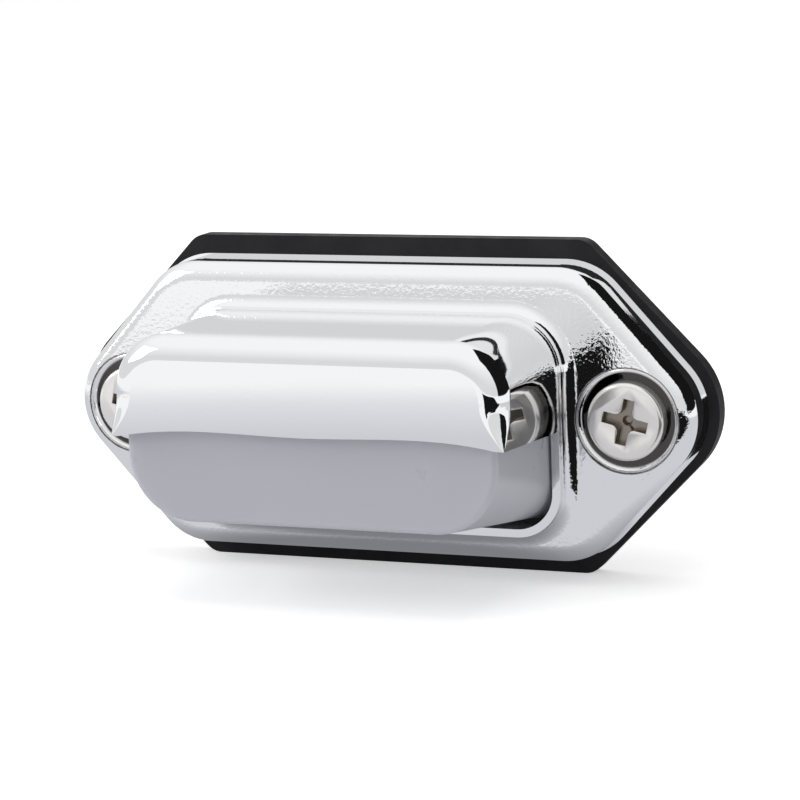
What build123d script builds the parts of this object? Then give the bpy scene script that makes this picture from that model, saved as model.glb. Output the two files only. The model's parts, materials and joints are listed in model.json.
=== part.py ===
"""Number plate lamp with a chromed cover, a hood over an opal lens and two mounting screws.

The lamp bolts to an upright panel. The origin is the middle of its mounting face, which is the
back of the rubber gasket. X runs along the lamp to its right, as seen from the front, Z points
up and the front looks along -Y. A "depth" is a distance in front of the mounting face.
All sizes are in millimetres and all angles in degrees.
"""

import os
from math import cos, radians, sin, sqrt

from build123d import *

# Outline of the chromed cover: a long hexagon, rounded about both mounting screws
hole_spacing = 72.0
cover_end_radius = 9.0
cover_height = 40.0
cover_slope = 48.0
cover_corner_radius = 9.0

# Cover wall and flange
flange_height = 7.4
flange_wall = 2.0
skirt_wall = 1.8
shoulder_radius = 2.5
lip_width = 0.4
lip_thickness = 0.8

# Raised housing on the flange: a collar round the lens below, a hood above
screw_to_housing = 8.5
margin_above_housing = 6.1
margin_below_housing = 4.2
housing_upper_radius = 7.4
housing_lower_radius = 6.3
housing_wall = 1.1
collar_height = 2.8
foot_radius = 1.9

# Hood
hood_depth = 34.0
hood_round = 3.2
hood_inner_round = 1.4
hood_tip_round = 0.12
hood_tip_z = 0.5
hood_heel_z = -1.2
hood_arch_rise = 0.7
hood_arch_margin = 6.0
hood_tip_steps = 6
hood_arch_end_drop = 0.2

# Margins of cutting shapes, and of picking edges by their place
cut_margin = 1.0
pick_margin = 0.1
pick_tolerance = 0.01

# Screw seats of the cover
seat_radius = 6.4
seat_depth = 1.2
seat_rim_radius = 0.8
column_radius = 4.4
screw_clearance = 0.25

# Rubber gasket behind the cover
gasket_thickness = 2.6
gasket_end_overhang = 1.6
gasket_side_overhang = 2.9
gasket_slope = 45.9
gasket_corner_radius = 3.0
gasket_lead_hole_radius = 6.5

# Opal lens
lens_clearance = 0.4
lens_wall = 1.8
lens_front_gap = 0.3
lens_side_taper = 0.1
lens_top_taper = 0.1
lens_bottom_taper = 3.3
lens_front_lower_radius = 9.0
lens_edge_radius = 0.8
lens_flange_width = 2.5
lens_flange_thickness = 1.5
seal_thickness = 0.7
seal_clearance = 0.1

# Black back cover, held by four small screws
back_cover_thickness = 2.0
back_cover_clearance = 0.2
back_cover_end_margin = 0.3
press_rib_width = 1.6
boss_radius = 2.6
boss_gap = 0.4
boss_margin = 9.4
column_clearance = 0.3

# Small fixing screws
cover_screw_radius = 1.4
cover_screw_head_radius = 2.5
cover_screw_length = 5.0
board_screw_radius = 1.05
board_screw_head_radius = 1.9
board_screw_head_height = 1.3
board_screw_length = 4.2
small_hole_spare = 0.3
small_screw_clearance = 0.06
small_recess_length = 2.2
small_recess_width = 0.6
small_recess_depth = 0.7
small_recess_corner = 0.15
countersink_angle = 90.0
board_screw_head_round = 0.3

# Circuit board on posts of the back cover
board_end_margin = 5.0
board_height_margin = 10.7
board_thickness = 1.2
board_corner_radius = 1.5
board_gap = 2.4
post_radius = 2.3
post_end_inset = 3.0
post_edge_inset = 3.1

# Light emitting diodes
led_count = 6
led_end_inset = 7.0
led_size = 5.0
led_height = 1.5
led_cup_radius = 1.9
led_cup_depth = 0.9
led_rise = 1.95
led_notch = 0.5

# Resistors, diode, capacitor and solder pads
resistor_length = 6.3
resistor_width = 3.2
resistor_height = 0.6
resistor_x = 9.5
diode_length = 4.3
diode_width = 2.6
diode_height = 2.2
capacitor_length = 3.2
capacitor_width = 1.6
capacitor_height = 1.2
small_part_drop = 4.45
pad_radius = 1.5
pad_height = 0.5
pad_spacing = 3.6
pad_round_share = 0.6
block_edge = 0.15
diode_x = 2.6

# Rubber grommet where the leads leave the back cover
outlet_z = -7.5
grommet_bore_radius = 2.2
grommet_wall = 1.3
grommet_lip = 1.2
grommet_lip_thickness = 0.9
grommet_edge_radius = 0.3
grommet_clearance = 0.05

# Mounting screws with a cross recess
screw_head_radius = 5.25
screw_head_height = 2.2
screw_head_round = 0.6
screw_radius = 2.7
screw_neck_radius = 2.4
screw_neck_reach = 0.6
screw_length = 24.0
screw_tip_length = 4.5
recess_length = 6.2
recess_width = 1.5
recess_depth = 1.5
recess_taper = 5.0
recess_corner_radius = 0.9
recess_cone_radius = 1.3
recess_cone_depth = 2.2
recess_cone_tip_radius = 0.4
recess_turn = 13.0

# Sizes and places that follow from those above
hole_x = hole_spacing / 2
housing_half_width = hole_x - screw_to_housing
housing_top = cover_height / 2 - margin_above_housing
housing_bottom = margin_below_housing - cover_height / 2
housing_middle = (housing_top + housing_bottom) / 2
lens_inset = housing_wall + lens_clearance
lens_depth = hood_depth - housing_wall - lens_front_gap
lens_front_half_width = housing_half_width - lens_inset - lens_side_taper
lens_front_top = housing_top - lens_inset - lens_top_taper
lens_front_bottom = housing_bottom + lens_inset + lens_bottom_taper
lens_front_upper_radius = housing_upper_radius - lens_inset
boss_x = housing_half_width - lens_inset + lens_flange_width + boss_gap + boss_radius
boss_z = cover_height / 2 - boss_margin
back_cover_half_length = boss_x + boss_radius + back_cover_end_margin
board_length = 2 * (housing_half_width - board_end_margin)
board_height = housing_top - housing_bottom - board_height_margin
post_x = board_length / 2 - post_end_inset
post_z = board_height / 2 - post_edge_inset
led_spacing = (board_length - 2 * led_end_inset) / (led_count - 1)
led_z = housing_middle + led_rise
small_part_z = housing_middle - small_part_drop
hood_arch_half_length = housing_half_width - hood_arch_margin

# Depths that follow from the sizes above
face_depth = gasket_thickness + flange_height
wall_back_depth = face_depth - flange_wall
collar_depth = face_depth + collar_height
seat_level = face_depth - seat_depth
lens_flange_front = wall_back_depth - seal_thickness
lens_flange_back = lens_flange_front - lens_flange_thickness
plate_front = gasket_thickness + back_cover_thickness
boss_hole_depth = cover_screw_length - back_cover_thickness + small_hole_spare
board_back = plate_front + board_gap
board_front = board_back + board_thickness
board_hole_depth = board_screw_length - board_thickness + small_hole_spare

os.makedirs("parts", exist_ok=True)


def finish(builder, label):
    """Label one finished piece and write its file."""
    builder.part.label = label
    export_step(builder.part, f"parts/{label}.step")


def hexagon(radius, half_height, slope_angle, corner):
    """Long hexagon with arcs about the screws and rounded corners."""
    slope = radians(slope_angle)
    apex_x = hole_x + radius / sin(slope)
    corner_x = hole_x + (radius - half_height * cos(slope)) / sin(slope)
    with BuildSketch() as outline:
        with BuildLine():
            Polyline(
                (apex_x, 0),
                (corner_x, half_height),
                (-corner_x, half_height),
                (-apex_x, 0),
                (-corner_x, -half_height),
                (corner_x, -half_height),
                close=True,
            )
        make_face()
        ends = outline.vertices().sort_by(Axis.X)
        fillet([ends[0], ends[-1]], radius)
        corners = outline.vertices().group_by(Axis.Y)
        fillet(corners[0] + corners[-1], corner)
    return outline.sketch


def cover_hexagon(growth, corner):
    """Outline of the cover, grown outwards."""
    return hexagon(cover_end_radius + growth, cover_height / 2 + growth, cover_slope, corner)


def arch_form(half_width, top, bottom, upper_radius, lower_radius):
    """Upright rounded rectangle with its own radius above and below."""
    with BuildSketch() as outline:
        with Locations((0, (top + bottom) / 2)):
            Rectangle(2 * half_width, top - bottom)
        levels = outline.vertices().group_by(Axis.Y)
        fillet(levels[-1], upper_radius)
        levels = outline.vertices().group_by(Axis.Y)
        fillet(levels[0], lower_radius)
    return outline.sketch


def housing_outline(inset):
    """Outline of the raised housing, moved inwards by inset."""
    return arch_form(
        housing_half_width - inset,
        housing_top - inset,
        housing_bottom + inset,
        housing_upper_radius - inset,
        housing_lower_radius - inset,
    )


def lens_front_outline(inset):
    """Outline of the front of the lens, moved inwards by inset."""
    return arch_form(
        lens_front_half_width - inset,
        lens_front_top - inset,
        lens_front_bottom + inset,
        lens_front_upper_radius - inset,
        lens_front_lower_radius - inset,
    )


def rear_plane(depth):
    """Plane at a depth that looks backwards, for what is put in from behind."""
    return Plane(origin=(0, -depth, 0), x_dir=(1, 0, 0), z_dir=(0, 1, 0))


cover_outline = cover_hexagon(0, cover_corner_radius)
lip_outline = cover_hexagon(lip_width, cover_corner_radius + lip_width)
cavity_outline = cover_hexagon(-skirt_wall, cover_corner_radius - skirt_wall)
plate_inset = skirt_wall + back_cover_clearance
plate_outline = cover_hexagon(-plate_inset, cover_corner_radius - plate_inset)
gasket_outline = hexagon(
    cover_end_radius + gasket_end_overhang,
    cover_height / 2 + gasket_side_overhang,
    gasket_slope,
    gasket_corner_radius,
)
housing_outer = housing_outline(0)
housing_inner = housing_outline(housing_wall)
lens_base = housing_outline(lens_inset)
lens_base_inner = housing_outline(lens_inset + lens_wall)
lens_front = lens_front_outline(0)
lens_front_inner = lens_front_outline(lens_wall)
lens_flange_outline = housing_outline(lens_inset - lens_flange_width)
rib_inner_outline = housing_outline(lens_inset - lens_flange_width + press_rib_width)
seal_outline = housing_outline(lens_inset - lens_flange_width + seal_clearance)
seal_inner_outline = housing_outline(lens_inset - seal_clearance)

# Lower front corner of the hood: its round grows upwards from a sharp tip
corner_reach = hood_round + cut_margin
with BuildPart() as corner_tip:
    straight_end_z = housing_top - housing_upper_radius
    tip_levels = [hood_heel_z - cut_margin]
    tip_rounds = [hood_tip_round]
    for step in range(hood_tip_steps + 1):
        share = step / hood_tip_steps
        tip_levels.append(hood_tip_z + share * (straight_end_z - hood_tip_z))
        tip_rounds.append(hood_tip_round + (hood_round - hood_tip_round) * sin(radians(90 * share)))
    for level, round_size in zip(tip_levels, tip_rounds):
        arc_offset = round_size * (1 - sqrt(0.5))
        front_y = -hood_depth
        with BuildSketch(Plane.XY.offset(level)):
            with BuildLine():
                Line(
                    (housing_half_width - corner_reach, front_y),
                    (housing_half_width - round_size, front_y),
                )
                ThreePointArc(
                    (housing_half_width - round_size, front_y),
                    (housing_half_width - arc_offset, front_y + arc_offset),
                    (housing_half_width, front_y + round_size),
                )
                Polyline(
                    (housing_half_width, front_y + round_size),
                    (housing_half_width, front_y + corner_reach),
                    (housing_half_width - corner_reach, front_y + corner_reach),
                    (housing_half_width - corner_reach, front_y),
                )
            make_face()
    loft()

# Hood and collar as one solid form, before it joins the flange and is hollowed
with BuildPart() as housing_form:
    with BuildSketch(Plane.XZ.offset(wall_back_depth)):
        add(housing_outer)
    extrude(amount=hood_depth - wall_back_depth)
    front_face = housing_form.faces().sort_by(Axis.Y)[0]
    lower_round_top = housing_bottom + housing_lower_radius
    upper_edges = front_face.edges().filter_by(lambda edge: edge.center().Z > lower_round_top)
    fillet(upper_edges, hood_round)
    # The rounded corners below the arc give way to the sharper lofted ones
    notch = corner_reach + cut_margin
    notch_x = housing_half_width - corner_reach + notch / 2
    notch_y = corner_reach - hood_depth - notch / 2
    with BuildSketch(Plane.XY.offset(tip_levels[0])):
        with Locations((-notch_x, notch_y), (notch_x, notch_y)):
            Rectangle(notch, notch)
    extrude(amount=straight_end_z - tip_levels[0], mode=Mode.SUBTRACT)
    add(corner_tip.part)
    add(mirror(corner_tip.part, about=Plane.YZ, mode=Mode.PRIVATE))
    with BuildSketch(Plane.YZ.offset(-housing_half_width - cut_margin)):
        with BuildLine():
            heel_slope = (hood_tip_z - hood_heel_z) / (hood_depth - collar_depth)
            reach = hood_depth + cut_margin
            reach_z = hood_heel_z + heel_slope * (reach - collar_depth)
            Polyline(
                (-collar_depth, hood_heel_z),
                (-reach, reach_z),
                (-reach, housing_bottom - cut_margin),
                (-collar_depth, housing_bottom - cut_margin),
                close=True,
            )
        make_face()
    extrude(amount=2 * (housing_half_width + cut_margin), mode=Mode.SUBTRACT)
    with BuildSketch(Plane.XZ.offset(hood_depth - housing_wall - cut_margin)):
        with BuildLine():
            arch_top = hood_tip_z + hood_arch_rise
            arch_end = housing_half_width - hood_tip_round
            arch_end_z = hood_tip_z - hood_arch_end_drop
            Spline(
                (-arch_end, arch_end_z),
                (-hood_arch_half_length, arch_top),
                (0, arch_top),
                (hood_arch_half_length, arch_top),
                (arch_end, arch_end_z),
            )
            Line((arch_end, arch_end_z), (-arch_end, arch_end_z))
        make_face()
    extrude(amount=housing_wall + 2 * cut_margin, mode=Mode.SUBTRACT)

# Room inside the housing, with rounded front edges so that the hood's wall stays even
with BuildPart() as housing_room:
    with BuildSketch(Plane.XZ.offset(gasket_thickness)):
        add(housing_inner)
    extrude(amount=hood_depth - housing_wall - gasket_thickness)
    fillet(housing_room.faces().sort_by(Axis.Y)[0].edges(), hood_inner_round)

with BuildPart() as chrome_cover:
    # Flange with its rounded shoulder and the thin lip at the back edge
    with BuildSketch(Plane.XZ.offset(gasket_thickness)):
        add(cover_outline)
    extrude(amount=flange_height)
    shoulder = chrome_cover.faces().sort_by(Axis.Y)[0]
    fillet(shoulder.edges(), shoulder_radius)
    with BuildSketch(Plane.XZ.offset(gasket_thickness)):
        add(lip_outline)
    extrude(amount=lip_thickness)
    add(housing_form.part)
    foot_edges = (
        chrome_cover.edges()
        .filter_by_position(Axis.Y, -face_depth - pick_tolerance, -face_depth + pick_tolerance)
        .filter_by(lambda edge: abs(edge.center().X) < housing_half_width + pick_margin)
        .filter_by(lambda edge: housing_bottom < edge.center().Z + pick_margin)
        .filter_by(lambda edge: edge.center().Z < housing_top + pick_margin)
    )
    fillet(foot_edges, foot_radius)
    # Hollow back, with the seat pads, screw columns and bosses left standing
    with BuildSketch(Plane.XZ.offset(gasket_thickness)):
        add(cavity_outline)
    extrude(amount=flange_height - flange_wall, mode=Mode.SUBTRACT)
    with BuildSketch(Plane.XZ.offset(seat_level - flange_wall)):
        with Locations((-hole_x, 0), (hole_x, 0)):
            Circle(seat_radius + seat_rim_radius)
    extrude(amount=flange_wall)
    with BuildSketch(Plane.XZ.offset(gasket_thickness)):
        with Locations((-hole_x, 0), (hole_x, 0)):
            Circle(column_radius)
    extrude(amount=flange_height - seat_depth)
    with BuildSketch(Plane.XZ.offset(plate_front)):
        with GridLocations(2 * boss_x, 2 * boss_z, 2, 2):
            Circle(boss_radius)
    extrude(amount=wall_back_depth - plate_front)
    with BuildSketch(Plane.XZ.offset(plate_front)):
        with GridLocations(2 * boss_x, 2 * boss_z, 2, 2):
            Circle(cover_screw_radius + small_screw_clearance)
    extrude(amount=boss_hole_depth, mode=Mode.SUBTRACT)
    # Opening for the lens, also the inside of the hood
    add(housing_room.part, mode=Mode.SUBTRACT)
    # Screw seats with rounded rims, and the holes
    for side in (-1, 1):
        seat_origin = (side * hole_x, 0, 0)
        with BuildSketch(Plane(seat_origin)):
            with BuildLine():
                rim = seat_radius + seat_rim_radius
                Line((0, -seat_level), (seat_radius, -seat_level))
                Line((seat_radius, -seat_level), (seat_radius, seat_rim_radius - face_depth))
                RadiusArc(
                    (seat_radius, seat_rim_radius - face_depth),
                    (rim, -face_depth),
                    seat_rim_radius,
                )
                Polyline(
                    (rim, -face_depth),
                    (rim, -collar_depth),
                    (0, -collar_depth),
                    (0, -seat_level),
                )
            make_face()
        revolve(axis=Axis(seat_origin, (0, 1, 0)), mode=Mode.SUBTRACT)
    with BuildSketch(Plane.XZ.offset(gasket_thickness)):
        with Locations((-hole_x, 0), (hole_x, 0)):
            Circle(screw_radius + screw_clearance)
    extrude(amount=flange_height, mode=Mode.SUBTRACT)
finish(chrome_cover, "chrome_cover")

# Opal lens: a hollow box whose base flange is held behind the flange of the cover
with BuildPart() as lens:
    with BuildSketch(Plane.XZ.offset(lens_flange_front)):
        add(lens_base)
    with BuildSketch(Plane.XZ.offset(lens_depth)):
        add(lens_front)
    loft()
    lens_face = lens.faces().sort_by(Axis.Y)[0]
    fillet(lens_face.edges(), lens_edge_radius)
    with BuildSketch(Plane.XZ.offset(lens_flange_back)):
        add(lens_flange_outline)
    extrude(amount=lens_flange_thickness)
    with BuildSketch(Plane.XZ.offset(lens_flange_back)):
        add(lens_base_inner)
    with BuildSketch(Plane.XZ.offset(lens_depth - lens_wall)):
        add(lens_front_inner)
    loft(mode=Mode.SUBTRACT)
finish(lens, "lens")

with BuildPart() as lens_seal:
    with BuildSketch(Plane.XZ.offset(lens_flange_front)):
        add(seal_outline)
        add(seal_inner_outline, mode=Mode.SUBTRACT)
    extrude(amount=seal_thickness)
finish(lens_seal, "lens_seal")

with BuildPart() as gasket:
    with BuildSketch(Plane.XZ):
        add(gasket_outline)
        with Locations((-hole_x, 0), (hole_x, 0)):
            Circle(screw_radius + screw_clearance, mode=Mode.SUBTRACT)
        with Locations((0, outlet_z)):
            Circle(gasket_lead_hole_radius, mode=Mode.SUBTRACT)
    extrude(amount=gasket_thickness)
finish(gasket, "gasket")

# Black back cover: a plate inside the skirt, a rib that presses on the lens and four posts
post_levels = (housing_middle - post_z, housing_middle + post_z)
post_places = [(side * post_x, level) for level in post_levels for side in (-1, 1)]
with BuildPart() as back_cover:
    with BuildSketch(Plane.XZ.offset(gasket_thickness)):
        add(plate_outline)
        Rectangle(2 * back_cover_half_length, cover_height, mode=Mode.INTERSECT)
        with Locations((-hole_x, 0), (hole_x, 0)):
            Circle(column_radius + column_clearance, mode=Mode.SUBTRACT)
        with Locations((0, outlet_z)):
            Circle(grommet_bore_radius + grommet_wall, mode=Mode.SUBTRACT)
    extrude(amount=back_cover_thickness)
    with BuildSketch(Plane.XZ.offset(plate_front)):
        add(lens_flange_outline)
        add(rib_inner_outline, mode=Mode.SUBTRACT)
    extrude(amount=lens_flange_back - plate_front)
    with BuildSketch(Plane.XZ.offset(plate_front)):
        with Locations(*post_places):
            Circle(post_radius)
    extrude(amount=board_gap)
    with BuildSketch(Plane.XZ.offset(board_back)):
        with Locations(*post_places):
            Circle(board_screw_radius + small_screw_clearance)
    extrude(amount=-board_hole_depth, mode=Mode.SUBTRACT)
    with Locations(rear_plane(gasket_thickness)):
        with GridLocations(2 * boss_x, 2 * boss_z, 2, 2):
            CounterSinkHole(
                cover_screw_radius + small_screw_clearance,
                cover_screw_head_radius + small_screw_clearance,
                depth=back_cover_thickness,
                counter_sink_angle=countersink_angle,
            )
finish(back_cover, "back_cover")

with BuildPart() as circuit_board:
    with BuildSketch(Plane.XZ.offset(board_back)):
        with Locations((0, housing_middle)):
            RectangleRounded(board_length, board_height, board_corner_radius)
        with Locations(*post_places):
            Circle(board_screw_radius + small_screw_clearance, mode=Mode.SUBTRACT)
    extrude(amount=board_thickness)
finish(circuit_board, "circuit_board")

# Small parts on the front of the board
led_places = [(led_spacing * (number - (led_count - 1) / 2), led_z) for number in range(led_count)]
for number, (led_x, led_height_z) in enumerate(led_places, start=1):
    with BuildPart() as led_case:
        with BuildSketch(Plane.XZ.offset(board_front)):
            with Locations((led_x, led_height_z)):
                Rectangle(led_size, led_size)
        extrude(amount=led_height)
        chamfer(led_case.faces().sort_by(Axis.Y)[0].edges().sort_by(Axis.X)[-1], led_notch)
        with BuildSketch(Plane.XZ.offset(board_front + led_height - led_cup_depth)):
            with Locations((led_x, led_height_z)):
                Circle(led_cup_radius)
        extrude(amount=led_cup_depth, mode=Mode.SUBTRACT)
    finish(led_case, f"led_{number}")
    with BuildPart() as phosphor:
        with BuildSketch(Plane.XZ.offset(board_front + led_height - led_cup_depth)):
            with Locations((led_x, led_height_z)):
                Circle(led_cup_radius)
        extrude(amount=led_cup_depth)
    finish(phosphor, f"led_phosphor_{number}")


def board_block(label, place, length, width, height, edge):
    """Moulded part on the board: a box with its front edges broken."""
    with BuildPart() as block:
        with BuildSketch(Plane.XZ.offset(board_front)):
            with Locations(place):
                Rectangle(length, width)
        extrude(amount=height)
        chamfer(block.faces().sort_by(Axis.Y)[0].edges(), edge)
    finish(block, label)


board_block(
    "resistor_1",
    (-resistor_x, small_part_z),
    resistor_length,
    resistor_width,
    resistor_height,
    block_edge,
)
board_block(
    "resistor_2",
    (resistor_x, small_part_z),
    resistor_length,
    resistor_width,
    resistor_height,
    block_edge,
)
board_block("diode", (-diode_x, small_part_z), diode_length, diode_width, diode_height, block_edge)
board_block(
    "capacitor",
    (diode_x, small_part_z),
    capacitor_length,
    capacitor_width,
    capacitor_height,
    block_edge,
)

# Solder pads for the two leads, on the back of the board
for number, side in ((1, -1), (2, 1)):
    with BuildPart() as solder_pad:
        with BuildSketch(Plane.XZ.offset(board_back - pad_height)):
            with Locations((side * pad_spacing / 2, housing_middle)):
                Circle(pad_radius)
        extrude(amount=pad_height)
        rim_edges = solder_pad.faces().sort_by(Axis.Y)[-1].edges()
        fillet(rim_edges, pad_height * pad_round_share)
    finish(solder_pad, f"solder_pad_{number}")

# Grommet with a lip on both sides of the back cover
with BuildPart() as wire_grommet:
    with BuildSketch(Plane.XY.offset(outlet_z)):
        with BuildLine():
            sleeve_radius = grommet_bore_radius + grommet_wall - grommet_clearance
            lip_radius = sleeve_radius + grommet_lip
            back_y = grommet_lip_thickness - gasket_thickness
            front_y = -plate_front - grommet_lip_thickness
            Polyline(
                (grommet_bore_radius, back_y),
                (lip_radius, back_y),
                (lip_radius, -gasket_thickness),
                (sleeve_radius, -gasket_thickness),
                (sleeve_radius, -plate_front),
                (lip_radius, -plate_front),
                (lip_radius, front_y),
                (grommet_bore_radius, front_y),
                close=True,
            )
        make_face()
    revolve(axis=Axis((0, 0, outlet_z), (0, 1, 0)))
    lip_edges = wire_grommet.edges().filter_by(GeomType.CIRCLE).sort_by(SortBy.RADIUS)[-4:]
    fillet([lip_edges.sort_by(Axis.Y)[0], lip_edges.sort_by(Axis.Y)[-1]], grommet_edge_radius)
finish(wire_grommet, "wire_grommet")


def cross_sketch(length, width, corner):
    """Cross of two bars with rounded inner corners."""
    with BuildSketch() as cross:
        Rectangle(length, width)
        Rectangle(width, length)
        inner = cross.vertices().filter_by(lambda vertex: abs(abs(vertex.X) - abs(vertex.Y)) < pick_tolerance)
        fillet(inner, corner)
    return cross.sketch


small_cross = cross_sketch(small_recess_length, small_recess_width, small_recess_corner)

# Four small countersunk screws hold the back cover
for number, (side, level) in enumerate(((-1, -1), (1, -1), (-1, 1), (1, 1)), start=1):
    screw_x = side * boss_x
    screw_z = level * boss_z
    head_height = cover_screw_head_radius - cover_screw_radius
    with BuildPart() as cover_screw:
        with BuildSketch(Plane((screw_x, 0, screw_z))):
            with BuildLine():
                tip_y = -gasket_thickness - cover_screw_length
                Polyline(
                    (0, -gasket_thickness),
                    (cover_screw_head_radius, -gasket_thickness),
                    (cover_screw_radius, -gasket_thickness - head_height),
                    (cover_screw_radius, tip_y + cover_screw_radius),
                    (0, tip_y),
                    close=True,
                )
            make_face()
        revolve(axis=Axis((screw_x, 0, screw_z), (0, 1, 0)))
        with BuildSketch(Plane((screw_x, -gasket_thickness, screw_z), z_dir=(0, -1, 0))):
            add(small_cross)
        extrude(amount=small_recess_depth, mode=Mode.SUBTRACT)
    finish(cover_screw, f"cover_screw_{number}")

# Four small pan head screws hold the board on its posts
for number, (screw_x, screw_z) in enumerate(post_places, start=1):
    head_y = -board_front - board_screw_head_height
    with BuildPart() as board_screw:
        with BuildSketch(Plane((screw_x, 0, screw_z))):
            with BuildLine():
                tip_y = -board_front + board_screw_length
                Polyline(
                    (0, head_y),
                    (board_screw_head_radius, head_y),
                    (board_screw_head_radius, -board_front),
                    (board_screw_radius, -board_front),
                    (board_screw_radius, tip_y - board_screw_radius),
                    (0, tip_y),
                    close=True,
                )
            make_face()
        revolve(axis=Axis((screw_x, 0, screw_z), (0, 1, 0)))
        fillet(board_screw.faces().sort_by(Axis.Y)[0].edges(), board_screw_head_round)
        with BuildSketch(Plane((screw_x, head_y, screw_z), z_dir=(0, 1, 0))):
            add(small_cross)
        extrude(amount=small_recess_depth, mode=Mode.SUBTRACT)
    finish(board_screw, f"board_screw_{number}")

# Two mounting screws: a plain neck through the cover and the gasket, the thread size behind it
mounting_cross = cross_sketch(recess_length, recess_width, recess_corner_radius)
for side, label in ((-1, "mounting_screw_left"), (1, "mounting_screw_right")):
    screw_x = side * hole_x
    head_y = -seat_level - screw_head_height
    with BuildPart() as mounting_screw:
        with BuildSketch(Plane((screw_x, 0, 0))):
            with BuildLine():
                tip_y = -seat_level + screw_length
                Polyline(
                    (0, head_y),
                    (screw_head_radius, head_y),
                    (screw_head_radius, -seat_level),
                    (screw_neck_radius, -seat_level),
                    (screw_neck_radius, screw_neck_reach),
                    (screw_radius, screw_neck_reach),
                    (screw_radius, tip_y - screw_tip_length),
                    (0, tip_y),
                    close=True,
                )
            make_face()
        revolve(axis=Axis((screw_x, 0, 0), (0, 1, 0)))
        fillet(mounting_screw.faces().sort_by(Axis.Y)[0].edges(), screw_head_round)
        with BuildSketch(Plane((screw_x, head_y, 0), z_dir=(0, 1, 0))):
            add(mounting_cross, rotation=recess_turn)
        extrude(amount=recess_depth, taper=recess_taper, mode=Mode.SUBTRACT)
        with Locations(Plane((screw_x, head_y, 0), z_dir=(0, -1, 0))):
            with Locations((0, 0, -recess_cone_depth / 2)):
                Cone(recess_cone_tip_radius, recess_cone_radius, recess_cone_depth, mode=Mode.SUBTRACT)
    finish(mounting_screw, label)
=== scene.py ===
import json
from math import cos, pi, radians, sin

import bmesh
import bpy
from mathutils import Matrix, Vector


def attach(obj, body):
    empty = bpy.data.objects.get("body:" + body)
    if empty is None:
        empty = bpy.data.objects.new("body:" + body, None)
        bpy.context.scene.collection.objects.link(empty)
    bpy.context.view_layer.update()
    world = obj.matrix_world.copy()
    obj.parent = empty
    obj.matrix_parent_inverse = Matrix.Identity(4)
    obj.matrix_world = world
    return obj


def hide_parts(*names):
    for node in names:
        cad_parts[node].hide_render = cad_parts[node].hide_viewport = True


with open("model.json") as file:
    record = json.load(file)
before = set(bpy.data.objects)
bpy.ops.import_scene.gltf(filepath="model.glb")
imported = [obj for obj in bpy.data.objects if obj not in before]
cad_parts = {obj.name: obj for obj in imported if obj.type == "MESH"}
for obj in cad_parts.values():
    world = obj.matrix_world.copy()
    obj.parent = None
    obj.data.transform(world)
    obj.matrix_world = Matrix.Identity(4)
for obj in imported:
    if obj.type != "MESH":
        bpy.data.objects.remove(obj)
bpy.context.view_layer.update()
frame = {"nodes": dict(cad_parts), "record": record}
nodes = frame["nodes"]

# Sizes in metres. X runs along the lamp, the front looks along -Y and Z points up.
face_y = -0.010
screw_x = 0.036
head_y = -0.011
floor_z = -0.02292
screw_zone = 0.009
pebbles_per_metre = 1900.0
pebble_height = 0.000032

# Plate and steel, with painted shade inside the screw seats and the cross recesses, which also colours the
# shanks
chrome_colour = (0.9, 0.905, 0.915)
painted_seat_shade = (0.09, 0.085, 0.08)
steel_colour = (0.88, 0.855, 0.835)
painted_recess_shade = (0.33, 0.29, 0.25)


# Finishes


def start_finish(name, colour, roughness, metallic=0.0):
    """A new material with its node tree and its shader."""
    material = bpy.data.materials.new(name)
    material.use_nodes = True
    tree = material.node_tree
    shader = tree.nodes["Principled BSDF"]
    shader.inputs["Base Color"].default_value = (*colour, 1.0)
    shader.inputs["Roughness"].default_value = roughness
    shader.inputs["Metallic"].default_value = metallic
    return material, tree, shader


def object_noise(tree, scale, detail=4.0, roughness=0.5):
    """Noise over the object's own coordinates, scale in cells per metre."""
    place = tree.nodes.new("ShaderNodeTexCoord")
    noise = tree.nodes.new("ShaderNodeTexNoise")
    noise.inputs["Scale"].default_value = scale
    noise.inputs["Detail"].default_value = detail
    noise.inputs["Roughness"].default_value = roughness
    tree.links.new(place.outputs["Object"], noise.inputs["Vector"])
    return noise.outputs["Fac"]


def spread(tree, value, low, high, start=0.3, end=0.7):
    """Map a value between start and end onto low to high."""
    node = tree.nodes.new("ShaderNodeMapRange")
    node.inputs["From Min"].default_value = start
    node.inputs["From Max"].default_value = end
    node.inputs["To Min"].default_value = low
    node.inputs["To Max"].default_value = high
    tree.links.new(value, node.inputs["Value"])
    return node.outputs["Result"]


def mottle(tree, shader, scale, low, high):
    """Uneven gloss."""
    tree.links.new(spread(tree, object_noise(tree, scale), low, high), shader.inputs["Roughness"])


def tint(tree, shader, scale, first, second):
    """Colour that drifts between two shades."""
    mix = tree.nodes.new("ShaderNodeMix")
    mix.data_type = "RGBA"
    mix.inputs[6].default_value = (*first, 1.0)
    mix.inputs[7].default_value = (*second, 1.0)
    tree.links.new(spread(tree, object_noise(tree, scale, 1.0), 0.0, 1.0), mix.inputs[0])
    tree.links.new(mix.outputs[2], shader.inputs["Base Color"])


def bump(tree, shader, height, distance, strength=1.0):
    """Relief of a given height in metres."""
    node = tree.nodes.new("ShaderNodeBump")
    node.inputs["Distance"].default_value = distance
    node.inputs["Strength"].default_value = strength
    tree.links.new(height, node.inputs["Height"])
    tree.links.new(node.outputs["Normal"], shader.inputs["Normal"])
    return node


def product(tree, first, second):
    """Two values multiplied."""
    node = tree.nodes.new("ShaderNodeMath")
    node.operation = "MULTIPLY"
    tree.links.new(first, node.inputs[0])
    tree.links.new(second, node.inputs[1])
    return node.outputs[0]


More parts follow.
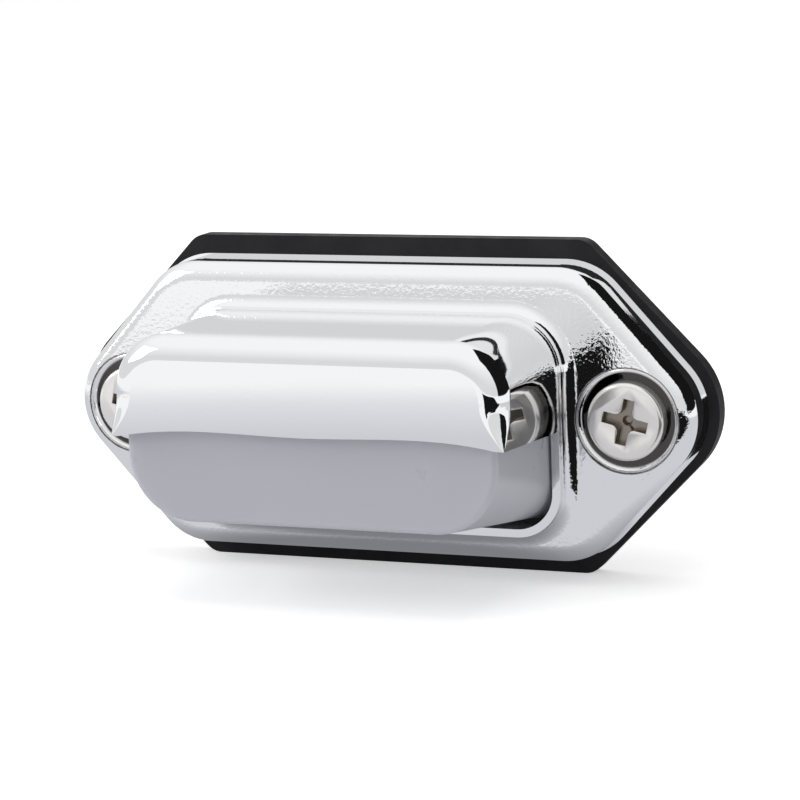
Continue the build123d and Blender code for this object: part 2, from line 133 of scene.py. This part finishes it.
def screw_distance(tree):
    """Distance from the nearer screw's axis, and the depth."""
    place = tree.nodes.new("ShaderNodeTexCoord")
    split = tree.nodes.new("ShaderNodeSeparateXYZ")
    tree.links.new(place.outputs["Object"], split.inputs["Vector"])
    sideways = tree.nodes.new("ShaderNodeMath")
    sideways.operation = "ABSOLUTE"
    tree.links.new(split.outputs["X"], sideways.inputs[0])
    from_axis = tree.nodes.new("ShaderNodeCombineXYZ")
    near, far = screw_x - screw_zone, screw_x + screw_zone
    offset = spread(tree, sideways.outputs[0], -screw_zone, screw_zone, near, far)
    tree.links.new(offset, from_axis.inputs["X"])
    tree.links.new(split.outputs["Z"], from_axis.inputs["Z"])
    radius = tree.nodes.new("ShaderNodeVectorMath")
    radius.operation = "LENGTH"
    tree.links.new(from_axis.outputs[0], radius.inputs[0])
    return radius.outputs["Value"], split.outputs["Y"]


def shade_within(tree, shader, mask, outside, inside):
    """One colour where a mask is 0 and another where it is 1."""
    shade = tree.nodes.new("ShaderNodeMix")
    shade.data_type = "RGBA"
    shade.inputs[6].default_value = (*outside, 1.0)
    shade.inputs[7].default_value = (*inside, 1.0)
    tree.links.new(mask, shade.inputs[0])
    tree.links.new(shade.outputs[2], shader.inputs["Base Color"])


def chrome_finish():
    """Bright chrome plate, pebbled on the flat of the flange, with painted shade inside the screw seats."""
    material, tree, shader = start_finish("chrome_plate", chrome_colour, 0.03, 1.0)
    mottle(tree, shader, 90.0, 0.02, 0.05)
    radius, depth = screw_distance(tree)
    within = spread(tree, radius, 1.0, 0.0, 0.0063, 0.0066)
    below = spread(tree, depth, 0.0, 1.0, face_y + 0.0004, face_y + 0.0008)
    shade_within(tree, shader, product(tree, within, below), chrome_colour, painted_seat_shade)
    up_to_face = spread(tree, depth, 0.02, 1.0, face_y - 0.0009, face_y - 0.0001)
    behind_face = spread(tree, depth, 1.0, 0.02, face_y + 0.0006, face_y + 0.0014)
    pebbles = object_noise(tree, pebbles_per_metre, 2.0, 0.5)
    relief = bump(tree, shader, pebbles, pebble_height)
    tree.links.new(product(tree, up_to_face, behind_face), relief.inputs["Strength"])
    return material


def plain_finish(name, first, second, roughness, grain_scale, grain, metallic):
    """Moulded or plated surface with drifting colour, uneven gloss and fine grain."""
    material, tree, shader = start_finish(name, first, roughness, metallic)
    tint(tree, shader, 220.0, first, second)
    mottle(tree, shader, 400.0, roughness * 0.85, roughness * 1.15)
    bump(tree, shader, object_noise(tree, grain_scale), grain)
    return material


def opal_finish():
    """Opal white plastic that light soaks into, its colour painted grey for the shade under the hood."""
    material, tree, shader = start_finish("opal_plastic", (0.535, 0.54, 0.592), 0.3)
    tint(tree, shader, 60.0, (0.535, 0.54, 0.592), (0.525, 0.53, 0.58))
    mottle(tree, shader, 160.0, 0.27, 0.34)
    bump(tree, shader, object_noise(tree, 900.0), 0.000002)
    shader.inputs["Subsurface Weight"].default_value = 0.35
    shader.inputs["Subsurface Radius"].default_value = (1.0, 1.0, 1.0)
    shader.inputs["Subsurface Scale"].default_value = 0.003
    shader.inputs["IOR"].default_value = 1.5
    return material


def screw_finish():
    """Satin stainless steel, with painted shade inside the cross recess that also darkens all along the
    shank.
    """
    material, tree, shader = start_finish("stainless_steel", steel_colour, 0.2, 0.8)
    radius, depth = screw_distance(tree)
    within = spread(tree, radius, 1.0, 0.0, 0.0034, 0.0036)
    below = spread(tree, depth, 0.0, 1.0, head_y + 0.00012, head_y + 0.0003)
    shade_within(tree, shader, product(tree, within, below), steel_colour, painted_recess_shade)
    mottle(tree, shader, 400.0, 0.17, 0.23)
    bump(tree, shader, object_noise(tree, 2600.0), 0.000003)
    return material


# First and second colour, roughness, grain in cells per metre, its height in metres, and metallic
plain_looks = {
    "seal_rubber": ((0.02, 0.02, 0.02), (0.03, 0.03, 0.03), 0.6, 1500.0, 0.00001, 0.0),
    "gasket_rubber": ((0.013, 0.012, 0.014), (0.019, 0.018, 0.02), 0.55, 1800.0, 0.00002, 0.0),
    "black_plastic": ((0.02, 0.02, 0.022), (0.03, 0.03, 0.032), 0.45, 1200.0, 0.00001, 0.0),
    "zinc_steel": ((0.62, 0.63, 0.65), (0.54, 0.56, 0.6), 0.35, 2400.0, 0.000004, 1.0),
    "board_laminate": ((0.8, 0.82, 0.8), (0.74, 0.77, 0.74), 0.3, 1600.0, 0.000004, 0.0),
    "led_housing": ((0.86, 0.86, 0.83), (0.8, 0.8, 0.77), 0.4, 2500.0, 0.000004, 0.0),
    "led_yellow": ((0.85, 0.62, 0.1), (0.8, 0.55, 0.07), 0.2, 3000.0, 0.000004, 0.0),
    "chip_ceramic": ((0.06, 0.055, 0.05), (0.09, 0.08, 0.07), 0.4, 2500.0, 0.000004, 0.0),
    "solder": ((0.7, 0.71, 0.72), (0.6, 0.61, 0.63), 0.25, 2000.0, 0.00001, 1.0),
}
finishes = {name: plain_finish(name, *look) for name, look in plain_looks.items()}
finishes["chrome_plate"] = chrome_finish()
finishes["opal_plastic"] = opal_finish()
finishes["stainless_steel"] = screw_finish()
finishes["gasket_rubber"].node_tree.nodes["Principled BSDF"].inputs["Specular IOR Level"].default_value = 0.2

for part in frame["record"]["subparts"]:
    node = nodes[part["node"]]
    node.data.materials.clear()
    node.data.materials.append(finishes[part["material_slot"]])


# Threads of the mounting screws

seat_y = -0.0088
thread_pitch = 0.0018
thread_steps = 28
core_radius = 0.00205
crest_radius = 0.0027
neck_radius = 0.0024
neck_end_y = 0.0006
shank_end_y = 0.0107
tip_y = 0.0152
recess_edge = 0.00012
neck_taper = 0.00035
thread_sink = 0.0001
thread_half_base = 0.00045
thread_half_crest = 0.00006


def threaded_screw(node_name, centre_x):
    """The head of the solid screw, its recess eased, on a neck and a core with a helical thread."""
    shape = bmesh.new()
    shape.from_mesh(nodes[node_name].data)
    bmesh.ops.remove_doubles(shape, verts=shape.verts, dist=1e-7)
    bmesh.ops.bisect_plane(
        shape,
        geom=shape.verts[:] + shape.edges[:] + shape.faces[:],
        plane_co=(0, seat_y + 0.00002, 0),
        plane_no=(0, 1, 0),
        clear_outer=True,
    )
    bmesh.ops.dissolve_limit(shape, angle_limit=radians(0.2), verts=shape.verts, edges=shape.edges)
    rim = [
        edge
        for edge in shape.edges
        if len(edge.link_faces) == 2
        and all(abs(vertex.co.y - head_y) < 1e-6 for vertex in edge.verts)
        and min(abs(face.normal.y) for face in edge.link_faces) < 0.5
    ]
    bmesh.ops.bevel(
        shape,
        geom=rim,
        offset=recess_edge,
        segments=2,
        profile=0.5,
        affect="EDGES",
        clamp_overlap=True,
    )
    axis_point = Vector((centre_x, 0, 0))
    core_places = (
        (neck_radius, seat_y),
        (neck_radius, neck_end_y),
        (core_radius, neck_end_y + neck_taper),
        (core_radius, shank_end_y),
        (0.0, tip_y),
    )
    core = [shape.verts.new((centre_x + radius, depth, 0)) for radius, depth in core_places]
    core_edges = [shape.edges.new(pair) for pair in zip(core, core[1:])]
    bmesh.ops.spin(
        shape,
        geom=core + core_edges,
        cent=axis_point,
        axis=(0, 1, 0),
        angle=2 * pi,
        steps=48,
        use_merge=True,
    )
    start_y = neck_end_y + 0.0005
    turns = (tip_y - 0.0012 - start_y) / thread_pitch
    steps = int(turns * thread_steps)
    ridge_places = (
        (core_radius - thread_sink, start_y - thread_half_base),
        (crest_radius, start_y - thread_half_crest),
        (crest_radius, start_y + thread_half_crest),
        (core_radius - thread_sink, start_y + thread_half_base),
    )
    ridge = [shape.verts.new((centre_x + radius, depth, 0)) for radius, depth in ridge_places]
    ridge_face = shape.faces.new(ridge)
    before = set(shape.verts) - set(ridge)
    bmesh.ops.spin(
        shape,
        geom=[ridge_face],
        cent=axis_point,
        axis=(0, 1, 0),
        dvec=(0, thread_pitch / thread_steps, 0),
        angle=2 * pi * steps / thread_steps,
        steps=steps,
    )
    # The thread runs out along the point and starts low behind the neck
    for vertex in shape.verts:
        if vertex in before:
            continue
        out = Vector((vertex.co.x - centre_x, 0, vertex.co.z))
        room = max(0.0, min(1.0, (tip_y - vertex.co.y) / (tip_y - shank_end_y)))
        rise = min(1.0, max(0.0, (vertex.co.y - start_y) / thread_pitch))
        reach = out.length
        if reach > core_radius:
            reach = core_radius + (reach - core_radius) * rise
        reach *= room
        out = out.normalized() * reach
        vertex.co.x = centre_x + out.x
        vertex.co.z = out.z
    bmesh.ops.remove_doubles(shape, verts=shape.verts, dist=1e-8)
    bmesh.ops.recalc_face_normals(shape, faces=shape.faces)
    for face in shape.faces:
        face.smooth = abs(face.normal.y) < 0.9999
    mesh = bpy.data.meshes.new(f"{node_name}_threaded")
    shape.to_mesh(mesh)
    shape.free()
    piece = bpy.data.objects.new(f"{node_name}_threaded", mesh)
    bpy.context.scene.collection.objects.link(piece)
    mesh.materials.append(finishes["stainless_steel"])
    mesh.set_sharp_from_angle(angle=radians(32))
    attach(piece, "root")
    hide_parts(node_name)
    return piece


threaded_screw("mounting_screw_left", -screw_x)
threaded_screw("mounting_screw_right", screw_x)


# Floor, studio light and camera


def flat_card(name, corners, material):
    """A flat stage piece with four given corners."""
    shape = bmesh.new()
    shape.faces.new([shape.verts.new(corner) for corner in corners])
    mesh = bpy.data.meshes.new(name)
    shape.to_mesh(mesh)
    shape.free()
    card = bpy.data.objects.new(name, mesh)
    bpy.context.scene.collection.objects.link(card)
    mesh.materials.append(material)
    return card


def floor_finish():
    """Floor that is white to the camera and keeps the shadow; metal sees painted shade on it, greyer near
    the lamp.
    """
    material, tree, shader = start_finish("floor", (0.9, 0.9, 0.9), 0.9)
    rays = tree.nodes.new("ShaderNodeLightPath")
    glow = tree.nodes.new("ShaderNodeMath")
    glow.operation = "MULTIPLY"
    glow.inputs[1].default_value = 0.45
    tree.links.new(rays.outputs["Is Camera Ray"], glow.inputs[0])
    shader.inputs["Emission Color"].default_value = (1.0, 1.0, 1.0, 1.0)
    tree.links.new(glow.outputs[0], shader.inputs["Emission Strength"])
    place = tree.nodes.new("ShaderNodeTexCoord")
    mapping = tree.nodes.new("ShaderNodeMapping")
    mapping.inputs["Scale"].default_value = (0.7, 1.0, 1.0)
    tree.links.new(place.outputs["Object"], mapping.inputs["Vector"])
    distance = tree.nodes.new("ShaderNodeVectorMath")
    distance.operation = "LENGTH"
    tree.links.new(mapping.outputs["Vector"], distance.inputs[0])
    # Painted shade that only reflections show: dark next to the lamp, pale grey further out, white far off
    fade = tree.nodes.new("ShaderNodeValToRGB")
    reach = spread(tree, distance.outputs["Value"], 0.0, 1.0, 0.0, 0.4)
    tree.links.new(reach, fade.inputs["Fac"])
    stops = fade.color_ramp.elements
    stops[0].position = 0.072
    stops[0].color = (0.22, 0.225, 0.24, 1.0)
    stops[1].position = 0.49
    stops[1].color = (1.0, 1.0, 1.0, 1.0)
    pale_grey, paler_grey = (0.66, 0.665, 0.7), (0.8, 0.805, 0.83)
    for position, colour in ((0.105, pale_grey), (0.375, pale_grey), (0.445, paler_grey)):
        stops.new(position).color = (*colour, 1.0)
    painted_reflection = tree.nodes.new("ShaderNodeEmission")
    tree.links.new(fade.outputs["Color"], painted_reflection.inputs["Color"])
    choose = tree.nodes.new("ShaderNodeMixShader")
    tree.links.new(rays.outputs["Is Glossy Ray"], choose.inputs[0])
    tree.links.new(shader.outputs[0], choose.inputs[1])
    tree.links.new(painted_reflection.outputs[0], choose.inputs[2])
    tree.links.new(choose.outputs[0], tree.nodes["Material Output"].inputs["Surface"])
    return material


def dark_finish(name, level):
    """Plain glow on the back of a card, whose front is clear."""
    material = bpy.data.materials.new(name)
    material.use_nodes = True
    tree = material.node_tree
    tree.nodes.remove(tree.nodes["Principled BSDF"])
    glow = tree.nodes.new("ShaderNodeEmission")
    glow.inputs["Color"].default_value = (level, level, level, 1.0)
    clear = tree.nodes.new("ShaderNodeBsdfTransparent")
    side = tree.nodes.new("ShaderNodeNewGeometry")
    choose = tree.nodes.new("ShaderNodeMixShader")
    tree.links.new(side.outputs["Backfacing"], choose.inputs[0])
    tree.links.new(clear.outputs[0], choose.inputs[1])
    tree.links.new(glow.outputs[0], choose.inputs[2])
    tree.links.new(choose.outputs[0], tree.nodes["Material Output"].inputs["Surface"])
    return material


def reflection_card(name, corners, along, level):
    """Card that only reflections show, and only to rays that travel along a direction."""
    card = flat_card(name, corners, dark_finish(name, level))
    if card.data.polygons[0].normal.dot(Vector(along)) < 0:
        card.data.flip_normals()
    card.visible_camera = False
    card.visible_diffuse = False
    card.visible_shadow = False
    card.visible_transmission = False
    return card


floor_reach = 3.0
flat_card(
    "floor",
    (
        (-floor_reach, -floor_reach, floor_z),
        (floor_reach, -floor_reach, floor_z),
        (floor_reach, floor_reach, floor_z),
        (-floor_reach, floor_reach, floor_z),
    ),
    floor_finish(),
)


# Dark card on the floor in front and a dark screen well off to the right, which only reflections show

dark_level = 0.008


def place_at(azimuth, elevation, distance):
    """Point seen from the origin in a direction, azimuth turned from the front to the right."""
    turn_by, rise_by = radians(azimuth), radians(elevation)
    level = distance * cos(rise_by)
    return Vector((level * sin(turn_by), -level * cos(turn_by), distance * sin(rise_by)))


screen_distance = 0.7
screen_angles = ((72, 0), (165, 0), (165, 60), (72, 60))
screen_corners = [place_at(azimuth, elevation, screen_distance) for azimuth, elevation in screen_angles]
reflection_card("dark_side_screen", screen_corners, place_at(118, 25, 1.0), dark_level)
floor_card_z = floor_z + 0.0002
floor_card_corners = (
    (0.034, -0.052, floor_card_z),
    (0.07, -0.6, floor_card_z),
    (0.7, -0.6, floor_card_z),
    (0.16, -0.03, floor_card_z),
)
reflection_card("dark_floor_card", floor_card_corners, (0, 0, -1), dark_level)


def soft_light(name, place, aim, width, height, power):
    """Square soft light that looks at a point."""
    lamp = bpy.data.lights.new(name, "AREA")
    lamp.shape = "RECTANGLE"
    lamp.size = width
    lamp.size_y = height
    lamp.energy = power
    light = bpy.data.objects.new(name, lamp)
    bpy.context.scene.collection.objects.link(light)
    light.location = place
    light.rotation_euler = (Vector(aim) - Vector(place)).to_track_quat("-Z", "Y").to_euler()
    return light


soft_light("key_light", (-1.1, -0.6, 0.7), (0, 0, 0), 0.9, 0.7, 6.0)
top_light = soft_light("top_light", (0.1, 0.0, 1.1), (0, 0, 0), 1.0, 0.8, 4.0)
top_light.visible_glossy = False

world = bpy.data.worlds.new("studio")
bpy.context.scene.world = world
world.use_nodes = True
world_tree = world.node_tree
background = world_tree.nodes["Background"]
background.inputs["Color"].default_value = (1.0, 1.0, 1.0, 1.0)
world_rays = world_tree.nodes.new("ShaderNodeLightPath")
world_place = world_tree.nodes.new("ShaderNodeTexCoord")
world_split = world_tree.nodes.new("ShaderNodeSeparateXYZ")
world_tree.links.new(world_place.outputs["Generated"], world_split.inputs[0])
low_sky = spread(world_tree, world_split.outputs["Z"], 0.76, 1.0, sin(radians(12.0)), sin(radians(55.0)))
world_level = world_tree.nodes.new("ShaderNodeMapRange")
world_level.inputs["To Max"].default_value = 0.5
world_tree.links.new(world_rays.outputs["Is Diffuse Ray"], world_level.inputs["Value"])
world_tree.links.new(low_sky, world_level.inputs["To Min"])
world_tree.links.new(world_level.outputs["Result"], background.inputs["Strength"])

camera_azimuth = radians(22.0)
camera_elevation = radians(10.86)
camera_roll = radians(-2.274)
camera_distance = 0.4033
camera_target = Vector((0.000044, 0.0, -0.000319))
towards = Vector(
    (
        sin(camera_azimuth) * cos(camera_elevation),
        -cos(camera_azimuth) * cos(camera_elevation),
        sin(camera_elevation),
    )
)
level_right = Vector((cos(camera_azimuth), sin(camera_azimuth), 0.0))
level_up = towards.cross(level_right)
camera_right = cos(camera_roll) * level_right + sin(camera_roll) * level_up
camera_up = cos(camera_roll) * level_up - sin(camera_roll) * level_right
camera_data = bpy.data.cameras.new("camera")
camera_data.sensor_fit = "HORIZONTAL"
camera_data.sensor_width = 36.0
camera_data.lens = 130.56
camera = bpy.data.objects.new("camera", camera_data)
bpy.context.scene.collection.objects.link(camera)
turn = Matrix((camera_right, camera_up, towards)).transposed().to_4x4()
camera.matrix_world = Matrix.Translation(camera_target + camera_distance * towards) @ turn
bpy.context.scene.camera = camera

bpy.context.scene.view_settings.view_transform = "Standard"
